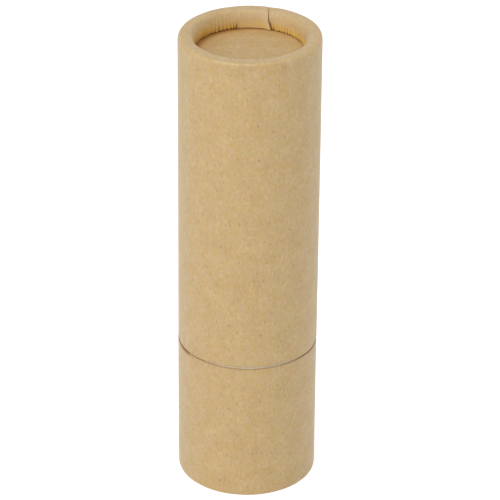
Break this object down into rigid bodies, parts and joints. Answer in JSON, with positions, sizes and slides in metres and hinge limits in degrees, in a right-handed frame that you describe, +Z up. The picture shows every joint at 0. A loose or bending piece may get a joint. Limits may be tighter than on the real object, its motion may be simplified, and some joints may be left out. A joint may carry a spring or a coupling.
{
  "type": "lip balm stick",
  "caption": "Twist-up lip balm stick in a kraft paper tube: long pull-off cap, short turning base, ribbed plastic barrel, screw spindle and carrier under a poured balm.",
  "frame": {"origin": "centre of the circle on which the base stands", "axes": "+Z up along the tube's axis, towards the cap's closed end; +Y away from the viewer of the picture"},
  "size_m": [0.02, 0.02, 0.069],
  "materials": {
    "kraft_paper": "matte",
    "board": "matte",
    "white_plastic": "satin",
    "balm_wax": "satin"
  },
  "bodies": {
    "base": {"base_wrap": "kraft_paper", "base_tube": "board", "base_disc": "kraft_paper", "drive_plug": "white_plastic", "spindle": "white_plastic"},
    "barrel": {"barrel": "white_plastic"},
    "stick": {"carrier": "white_plastic", "balm": "balm_wax"},
    "cap": {"cap_wrap": "kraft_paper", "cap_tube": "board", "cap_disc": "kraft_paper"}
  },
  "joints": [
    {"name": "barrel_turn", "type": "hinge", "parent": "base", "child": "barrel", "pos_m": [0, 0, 0], "axis": [0, 0, 1], "range_deg": [0, 3240]},
    {"name": "stick_lift", "type": "slide", "parent": "barrel", "child": "stick", "axis": [0, 0, 1], "range_m": [0, 0.036]},
    {"name": "cap_lift", "type": "slide", "parent": "stick", "child": "cap", "axis": [0, 0, 1], "range_m": [0, 0.05]}
  ],
  "couplings": [
    {"joint": "stick_lift", "follows": "barrel_turn", "m_per_rad": 0.00063662}
  ]
}
